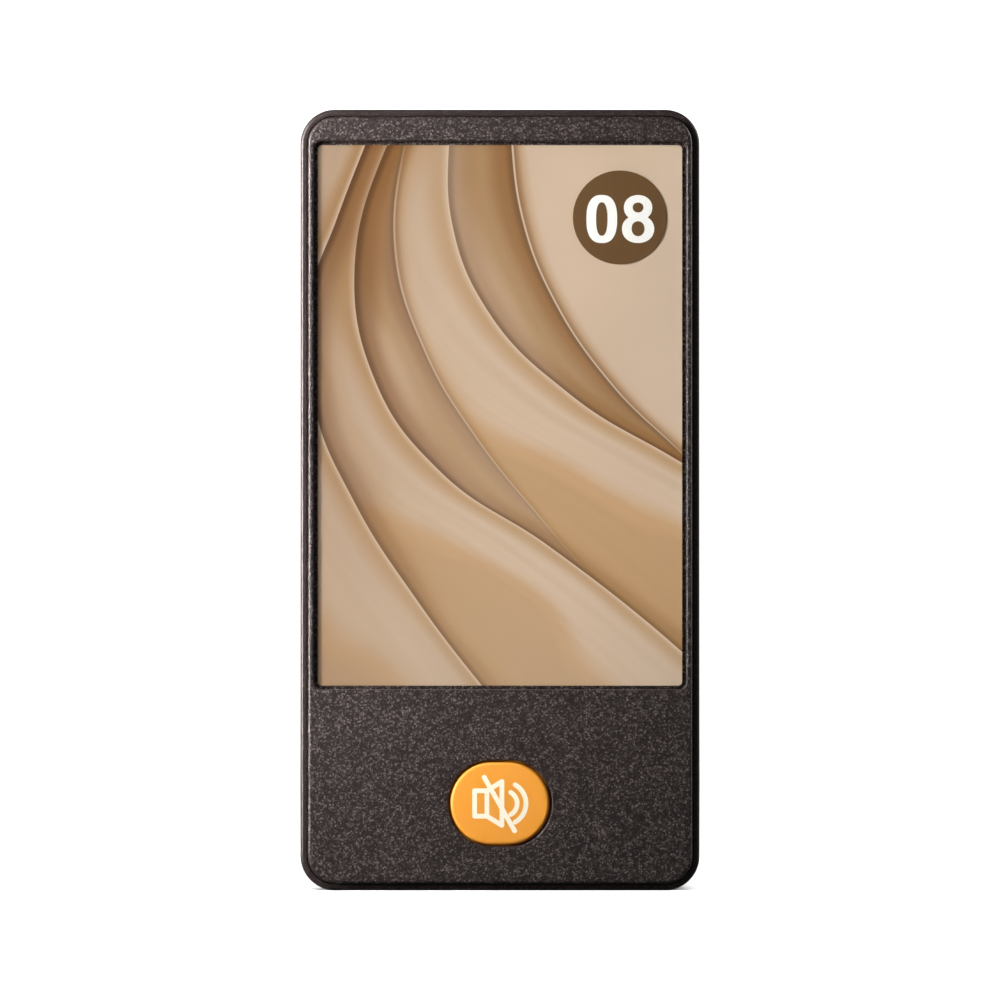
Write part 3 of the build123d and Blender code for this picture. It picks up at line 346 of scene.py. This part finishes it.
def light_pipe(name):
    """Translucent red pin."""
    colour = srgb(150, 14, 16)
    m = Material(name, colour, 0.18, Transmission_Weight=0.35, IOR=1.49, Coat_Weight=0.4)
    swirl = m.noise(0.9, 2.0)
    m.put("Base Color", m.mix(swirl, tone(colour, 0.7), tone(colour, 1.3)))
    return m


def lamp_resin(name):
    colour = srgb(228, 222, 206)
    m = Material(name, colour, 0.2, Transmission_Weight=0.3, IOR=1.5)
    swirl = m.noise(0.5, 2.0)
    m.put("Base Color", m.mix(swirl, colour, srgb(240, 214, 140)))
    return m


# ---------------------------------------------------------------- metals
# How much finer a metal's grain runs along X, Y and Z.
EVEN, TURNED, GROUND = (1, 1, 1), (3, 1, 1), (6, 1, 1)
STAMPED, ROLLED, BRUSHED = (1, 1, 6), (1, 1, 3), (0.2, 1, 3)


def metal(name, colour, roughness, grain):
    """Metal with a grain that may run one way, and a slight change of tone."""
    size, depth, tarnish = 0.4, 0.004, 0.15
    m = Material(name, colour, roughness, metallic=1.0)
    lines = m.noise(size, 3.0, 0.65, vector=m.stretched(*grain))
    cloud = m.noise(size * 12, 3.0)
    share = m.fit(cloud, 0.35, 0.7, 0.0, tarnish)
    m.put("Base Color", m.mix(share, m.mix(lines, tone(colour, 0.9), tone(colour, 1.06)), tone(colour, 0.5)))
    m.put("Roughness", m.fit(lines, 0.3, 0.7, max(0.05, roughness - 0.07), roughness + 0.1))
    m.put("Normal", m.bump(lines, depth))
    return m


def winding(name, colour, pitch, axis):
    """Enamelled copper wire wound round one axis, turn beside turn, with painted shade in the grooves between
    turns.
    """
    m = Material(name, colour, 0.28, metallic=1.0, Coat_Weight=0.4)
    along = m.axes()[axis]
    turns = m.maths("SINE", m.times(along, math.tau / pitch))
    # The grooves between the turns are painted dark: painted shade.
    m.put("Base Color", m.mix(m.fit(turns, -1, 1), tone(colour, 0.35), colour))
    m.put("Normal", m.bump(turns, pitch / 4))
    return m


def mesh_patch(name):
    """Woven steel mesh whose openings are painted near-black: painted shade for the dark space behind it."""
    m = Material(name, srgb(120, 120, 120), 0.4, metallic=1.0)
    x, _, z = m.axes()
    wires = 18.0  # radians a millimetre: a wire every 0.17 mm
    weave = m.times(m.maths("SINE", m.times(x, wires)), m.maths("SINE", m.times(z, wires)))
    hole = m.fit(m.maths("ABSOLUTE", weave), 0.35, 0.55)
    # The openings are painted near-black as painted shade, and lose their metal.
    m.put("Base Color", m.mix(hole, srgb(132, 132, 132), srgb(12, 12, 12)))
    m.put("Metallic", m.minus(1.0, hole))
    m.put("Normal", m.bump(weave, 0.03))
    return m


# ---------------------------------------------------------------- boards, chips and wires
def circuit_board(name):
    """Green solder mask over copper tracks, with the weave of the board showing faintly."""
    mask, track = srgb(14, 84, 44), srgb(28, 120, 62)
    m = Material(name, mask, 0.3, Coat_Weight=0.3, Coat_Roughness=0.15)
    x, _, z = m.axes()
    runs = []
    for first, second, gap in ((x, z, 1.9), (z, x, 2.6)):
        lane = m.maths("FRACT", m.maths("DIVIDE", first, gap))
        line = m.fit(m.maths("ABSOLUTE", m.minus(lane, 0.5)), 0.12, 0.09)
        number = m.maths("FLOOR", m.maths("DIVIDE", first, gap))
        span = m.maths("FLOOR", m.maths("DIVIDE", second, 6.5))
        key = m.node("CombineXYZ", {0: number, 1: span, 2: gap}).outputs[0]
        chance = m.node("TexWhiteNoise", {"Vector": key}).outputs["Value"]
        runs.append(m.times(line, m.maths("GREATER_THAN", chance, 0.5)))
    tracks = m.maths("MAXIMUM", runs[0], runs[1])
    threads = 10.0  # radians a millimetre: a thread every 0.31 mm
    weave = m.times(m.maths("SINE", m.times(x, threads)), m.maths("SINE", m.times(z, threads)))
    base = m.mix(m.fit(weave, -1, 1), tone(mask, 0.85), tone(mask, 1.1))
    m.put("Base Color", m.mix(tracks, base, track))
    m.put("Normal", m.bump(m.plus(tracks, m.times(weave, 0.1)), 0.03))
    return m


def chip_epoxy(name):
    return moulded(name, srgb(30, 30, 31), 0.55, grain=0.12, depth=0.008)


def wire(name, colour):
    """Soft insulation with a faint print of the strands under it."""
    m = Material(name, colour, 0.38, Coat_Weight=0.2)
    strand = m.noise(0.3, 2.0)
    m.put("Base Color", m.mix(strand, tone(colour, 0.85), tone(colour, 1.15)))
    m.put("Normal", m.bump(strand, 0.01))
    return m


def foil_pouch(name):
    """Laminated foil round the cell, softly creased."""
    colour = srgb(196, 197, 202)
    m = Material(name, colour, 0.32, metallic=1.0)
    crease = m.cells(4.5, feature="SMOOTH_F1")
    dimple = m.noise(1.2, 3.0)
    m.put("Base Color", m.mix(dimple, tone(colour, 0.9), tone(colour, 1.05)))
    m.put("Normal", m.bump(dimple, 0.03, below=m.bump(crease, 0.12)))
    return m


# ---------------------------------------------------------------- which material each slot has
def materials():
    """The material for each of the record's slots."""
    made = {
        "cover_plastic": eroded("cover_plastic", srgb(37, 26, 24), 0.4, grain=0.23, depth=0.04, painted_glint_strength=0.95),
        "case_plastic": eroded("case_plastic", srgb(58, 45, 42), 0.38, grain=0.22, depth=0.015, painted_glint_strength=0.25),
        "window_clear": clear_window(),
        "card_print": card_print(),
        "sticker_brown": sticker_print(),
        "digit_white": pale_ink("digit_white", srgb(253, 252, 248)),
        "icon_white": pale_ink("icon_white", srgb(246, 235, 211)),
        "button_orange": orange_button(),
        "tape_white": tape("tape_white"),
        "foam_grey": foam("foam_grey", srgb(112, 112, 116)),
        "light_pipe_red": light_pipe("light_pipe_red"),
        "led_lens": lamp_resin("led_lens"),
        "mesh_steel": mesh_patch("mesh_steel"),
        "board_green": circuit_board("board_green"),
        "chip_black": chip_epoxy("chip_black"),
        "cell_foil": foil_pouch("cell_foil"),
        "coil_copper": winding("coil_copper", srgb(226, 132, 78), pitch=0.25, axis=0),
    }
    for name, colour, roughness in (
        ("seal_rubber", srgb(30, 30, 31), 0.75), ("boot_rubber", srgb(38, 38, 41), 0.75),
        ("switch_black", srgb(28, 28, 29), 0.45), ("plunger_white", srgb(222, 219, 210), 0.4),
        ("capacitor_tan", srgb(186, 150, 108), 0.55), ("tantalum_yellow", srgb(222, 166, 50), 0.45),
        ("ceramic_silver", srgb(214, 210, 200), 0.35), ("cap_plastic", srgb(218, 213, 200), 0.45),
        ("plug_white", srgb(230, 226, 214), 0.42),
    ):
        made[name] = moulded(name, colour, roughness)
    for name, colour in (
        ("wire_red", srgb(196, 20, 22)), ("wire_blue", srgb(26, 62, 176)), ("wire_black", srgb(26, 26, 28)),
    ):
        made[name] = wire(name, colour)
    for name, colour, roughness, grain in (
        ("screw_steel", srgb(74, 73, 74), 0.34, EVEN),
        ("switch_steel", srgb(208, 208, 206), 0.28, STAMPED),
        ("lead_tin", srgb(220, 219, 216), 0.24, EVEN),
        ("crystal_steel", srgb(214, 213, 210), 0.2, BRUSHED),
        ("disc_brass", srgb(214, 178, 96), 0.3, BRUSHED),
        ("pin_gold", srgb(232, 190, 102), 0.22, EVEN),
        ("motor_steel", srgb(208, 207, 204), 0.25, TURNED),
        ("bronze", srgb(178, 132, 82), 0.45, EVEN),
        ("magnet_nickel", srgb(196, 192, 184), 0.25, EVEN),
        ("shaft_steel", srgb(220, 220, 220), 0.16, GROUND),
        ("weight_tungsten", srgb(150, 148, 146), 0.42, EVEN),
        ("contact_nickel", srgb(218, 210, 190), 0.2, EVEN),
        ("clip_bronze", srgb(206, 160, 100), 0.3, ROLLED),
    ):
        made[name] = metal(name, colour, roughness, grain)
    return made


def dress(made):
    """Gives each CAD node its slot's material."""
    for part in frame["record"]["subparts"]:
        piece = NODES[part["node"]]
        for index in range(len(piece.material_slots)):
            piece.material_slots[index].link = "OBJECT"
            piece.material_slots[index].material = made[part["material_slot"]].material


# ---------------------------------------------------------------- studio
def studio_floor():
    """A pale floor that curves up into a backdrop."""
    steps, bend, back, front, side = 24, 0.35, 0.9, -1.6, 2.2
    profile = [(front, 0.0)]
    for i in range(steps + 1):
        angle = math.radians(90 * i / steps)
        profile.append((back - bend + bend * math.sin(angle), bend - bend * math.cos(angle)))
    profile.append((back, 2.0))
    points = [(x, y, z) for y, z in profile for x in (-side, side)]
    faces = [(2 * i, 2 * i + 1, 2 * i + 3, 2 * i + 2) for i in range(len(profile) - 1)]
    mesh = bpy.data.meshes.new("studio_floor")
    mesh.from_pydata(points, [], faces)
    mesh.shade_smooth()
    floor = bpy.data.objects.new("studio_floor", mesh)
    floor.location.z = cad_box[0][2]
    bpy.context.scene.collection.objects.link(floor)
    paper = Material("studio_paper", srgb(240, 240, 240), 0.8)
    paper.put("Base Color", paper.mix(paper.noise(60.0, 2.0), srgb(238, 238, 238), srgb(242, 242, 242)))
    mesh.materials.append(paper.material)
    floor.visible_glossy = False
    floor.visible_diffuse = False
    return floor


def soft_light(name, place, target, size, power, spread=180):
    """A rectangular light, its size in metres, its power in watts and its spread in degrees."""
    light = bpy.data.lights.new(name, "AREA")
    light.shape = "RECTANGLE"
    light.size, light.size_y = size
    light.energy = power
    light.spread = math.radians(spread)
    lamp = bpy.data.objects.new(name, light)
    lamp.location = place
    lamp.visible_camera = False
    lamp.rotation_euler = (Vector(target) - Vector(place)).to_track_quat("-Z", "Y").to_euler()
    bpy.context.scene.collection.objects.link(lamp)
    return lamp


def lights(centre, floor):
    """A soft key and a narrow strip from the left, a faint fill, and lights for the right side and the back.

    The rear light fits within the pager's outline, so no edge of the front mirrors it.
    """
    soft_light("key", (-0.15, -0.16, 0.15), centre, (0.08, 0.08), 0.56)
    soft_light("left_strip", (-0.16, -0.09, 0.085), (cad_box[0][0], 0, 0.075), (0.03, 0.14), 0.06, spread=30)
    soft_light("fill", (0.5, -0.8, 0.4), centre, (0.5, 0.5), 0.12)
    soft_light("right_side", (0.50, 0.10, 0.25), centre, (0.25, 0.40), 2.0)
    rear = soft_light("rear", (0.0, 0.45, centre[2]), centre, (0.044, 0.09), 2.6)
    wash = soft_light("floor_wash", (0.0, -1.2, 0.9), (0.0, 0.5, 0.3), (1.6, 1.6), 112.0)
    # The floor isn't lit by the rear light, and nothing else is lit by the wash, which keeps the floor white.
    for lamp, state in ((rear, "EXCLUDE"), (wash, "INCLUDE")):
        linked = bpy.data.collections.new(lamp.name + "_linked")
        linked.objects.link(floor)
        linked.collection_objects[0].light_linking.link_state = state
        lamp.light_linking.receiver_collection = linked
    world = bpy.data.worlds.new("studio_air")
    world.use_nodes = True
    world.node_tree.nodes["Background"].inputs["Color"].default_value = (0.95, 0.97, 1.0, 1)
    world.node_tree.nodes["Background"].inputs["Strength"].default_value = 0.08
    bpy.context.scene.world = world
    bpy.context.scene.view_settings.view_transform = "Standard"


def camera(centre):
    """Straight on to the face, from far enough back that the sides don't show."""
    lens = bpy.data.cameras.new("camera")
    lens.lens = 400
    lens.clip_start = 0.01
    view = bpy.data.objects.new("camera", lens)
    frame_height = 0.130
    distance = frame_height * lens.lens / lens.sensor_width
    view.location = (centre[0], cad_box[0][1] - distance, centre[2])
    view.rotation_euler = (math.radians(90), 0, 0)
    bpy.context.scene.collection.objects.link(view)
    bpy.context.scene.camera = view


centre = tuple((low + high) / 2 for low, high in zip(*cad_box))
dress(materials())
lights(centre, studio_floor())
camera(centre)
